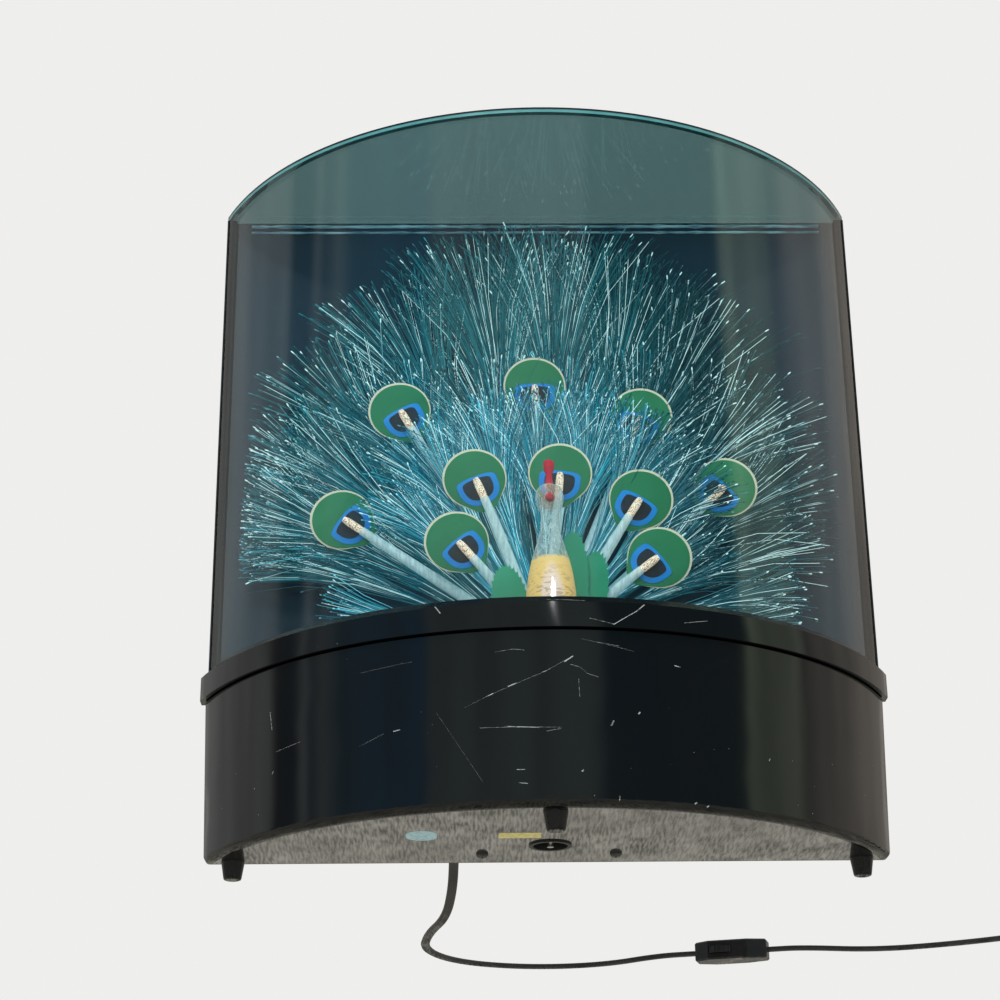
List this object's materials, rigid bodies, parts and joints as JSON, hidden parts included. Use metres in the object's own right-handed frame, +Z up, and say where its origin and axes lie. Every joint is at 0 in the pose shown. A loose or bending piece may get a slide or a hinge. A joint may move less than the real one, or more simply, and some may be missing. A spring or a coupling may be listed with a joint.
{
  "type": "fiber optic lamp",
  "caption": "Bowed display lamp: a clear case of fibre-optic feathers and a glass bird on a base with a bulb, a turning colour wheel, a wound musical movement and a switched lead.",
  "frame": {"origin": "on the floor plane under the middle of the lamp's box, without the free lead", "axes": "+Z up, the bowed clear front faces -Y, the flat back panel is at +Y, +X is the right side seen from the front"},
  "size_m": [0.5337, 0.3992, 0.4],
  "materials": {
    "base_black": "gloss black moulding with fine scratches",
    "foot_black": "gloss black moulded foot",
    "screw_steel": "plated screw head",
    "cup_black": "moulded",
    "key_steel": "plated steel",
    "movement_tin": "zinc-plated tin",
    "bracket_steel": "folded sheet",
    "socket_white": "glazed",
    "bulb_clear": "clear",
    "cap_brass": "rolled screw cap",
    "reflector_bright": "bright rolled sheet",
    "motor_grey": "grey painted can",
    "shaft_steel": "turned",
    "wheel_white": "thin moulded disc",
    "filter_colors": "tinted film",
    "lead_white": "insulated wire",
    "cap_orange": "moulded",
    "deck_black": "black sheet",
    "panel_navy": "gloss navy sheet",
    "strip_black": "black strip",
    "clear_sheet": "clear sheet with teal edges",
    "ferrule_white": "moulded sleeve",
    "fiber": "fine plastic fibres",
    "stem_sleeve": "clear sleeve round fibres",
    "eye_card": "printed card",
    "bird_glass": "tinted blown glass",
    "bird_red": "red glass",
    "leaf_green": "thin green sheet",
    "relief_black": "moulded",
    "cord_black": "flat two-wire lead",
    "switch_black": "moulded shell",
    "switch_wheel_black": "knurled",
    "plug_black": "moulded",
    "blade_brass": "plated"
  },
  "bodies": {
    "base": {"base_shell": "base_black", "bottom_plate": "base_black", "foot_left": "foot_black", "foot_right": "foot_black", "foot_front": "foot_black", "bracket_screws": "screw_steel", "key_cup": "cup_black", "music_movement": "movement_tin", "light_bracket": "bracket_steel", "lamp_socket": "socket_white", "bulb_glass": "bulb_clear", "bulb_cap": "cap_brass", "reflector": "reflector_bright", "wheel_motor": "motor_grey", "inner_leads": "lead_white", "wire_cap": "cap_orange", "strain_relief": "relief_black", "cord_lead": "cord_black", "cord_run": "cord_black", "cord_coil": "cord_black", "cord_end": "cord_black", "switch_base": "switch_black", "switch_cover": "switch_black", "switch_screw": "screw_steel", "plug_body": "plug_black", "plug_blades": "blade_brass"},
    "color_wheel": {"color_wheel": "wheel_white", "color_filters": "filter_colors", "wheel_shaft": "shaft_steel"},
    "winding_key": {"winding_key": "key_steel"},
    "thumb_wheel": {"switch_wheel": "switch_wheel_black"},
    "display": {"base_rim": "base_black", "display_deck": "deck_black", "back_panel": "panel_navy", "edge_strip_left": "strip_black", "edge_strip_right": "strip_black", "front_cover": "clear_sheet", "top_plate": "clear_sheet", "fiber_ferrule": "ferrule_white", "fiber_bundle": "fiber", "feather_stems": "stem_sleeve", "eye_card_01": "eye_card", "eye_card_02": "eye_card", "eye_card_03": "eye_card", "eye_card_04": "eye_card", "eye_card_05": "eye_card", "eye_card_06": "eye_card", "eye_card_07": "eye_card", "eye_card_08": "eye_card", "eye_card_09": "eye_card", "eye_card_10": "eye_card", "sprays_front": "fiber", "sprays_middle": "fiber", "sprays_rear": "fiber", "bird_body": "bird_glass", "bird_crest": "bird_red", "bird_beak": "bird_red", "bird_wings": "leaf_green"}
  },
  "joints": [
    {"name": "display_lift", "type": "slide", "parent": "base", "child": "display", "axis": [0, 0, 1], "range_m": [0, 0.04]},
    {"name": "wheel_turn", "type": "hinge", "parent": "base", "child": "color_wheel", "pos_m": [-0.04, 0.006, 0.078], "axis": [0, 0, 1], "continuous": true},
    {"name": "key_turn", "type": "hinge", "parent": "base", "child": "winding_key", "pos_m": [0, 0.022, 0.014], "axis": [0, 0, 1], "continuous": true},
    {"name": "switch_turn", "type": "hinge", "parent": "base", "child": "thumb_wheel", "pos_m": [0.11906, 0.30192, 0.006], "axis": [0, 0, 1], "continuous": true}
  ]
}
